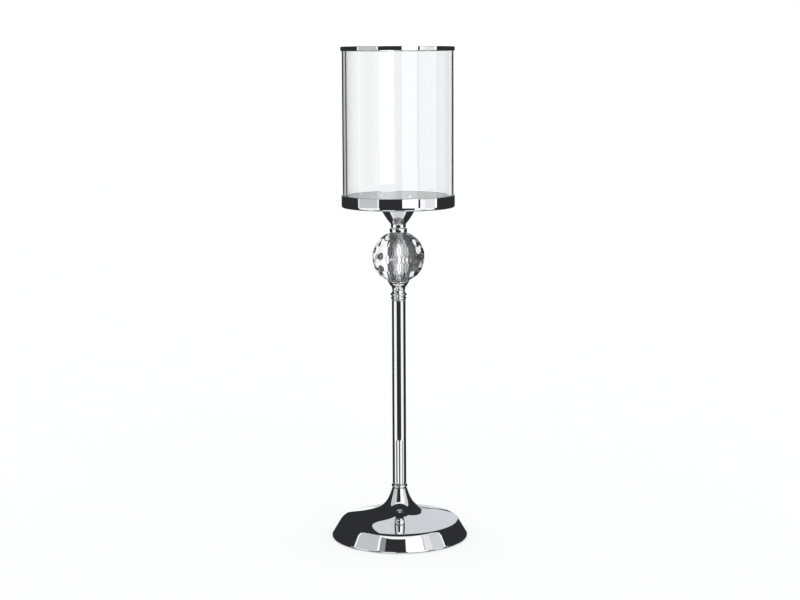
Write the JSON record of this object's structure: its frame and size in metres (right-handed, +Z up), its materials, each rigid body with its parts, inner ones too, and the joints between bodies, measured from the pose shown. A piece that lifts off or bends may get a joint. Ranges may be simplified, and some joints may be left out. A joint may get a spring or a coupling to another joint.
{
  "type": "pillar candle holder",
  "caption": "Tall chrome candle holder: domed round base, slim stem, faceted crystal ball, and a dish with an open glass cylinder and a rim ring.",
  "frame": {"origin": "centre of the underside, on the surface the holder stands on", "axes": "+Z up along the stem, which is also the turning axis; the holder is round, so X and Y are free"},
  "size_m": [0.125, 0.125, 0.4488],
  "materials": {
    "chrome": "mirror-bright plating",
    "clear_glass": "clear, polished",
    "crystal": "clear, cut and polished",
    "zinc_steel": "bright zinc plating",
    "ballast_iron": "as cast, black varnish",
    "felt": "pressed black felt",
    "silicone": "translucent, matt"
  },
  "bodies": {
    "stand": {"base_pad": "felt", "base_shell": "chrome", "base_weight": "ballast_iron", "base_nut": "zinc_steel", "base_lock_washer": "zinc_steel", "base_washer": "zinc_steel", "tie_rod": "zinc_steel", "base_neck_bead": "chrome", "stem_lower_bushing": "zinc_steel", "stem_tube": "chrome", "stem_upper_bushing": "zinc_steel", "stem_ferrule": "chrome", "lower_ball_cup": "chrome", "lower_ball_gasket": "silicone", "crystal_ball": "crystal", "ball_sleeve": "chrome", "upper_ball_gasket": "silicone", "ball_collar": "chrome", "dish_funnel": "chrome", "candle_dish": "chrome", "dish_washer": "zinc_steel", "dish_nut": "zinc_steel"},
    "hurricane": {"glass_cylinder": "clear_glass", "rim_ring": "chrome"}
  },
  "joints": [
    {"name": "glass_lift", "type": "slide", "parent": "stand", "child": "hurricane", "axis": [0, 0, 1], "range_m": [0, 0.16]}
  ]
}
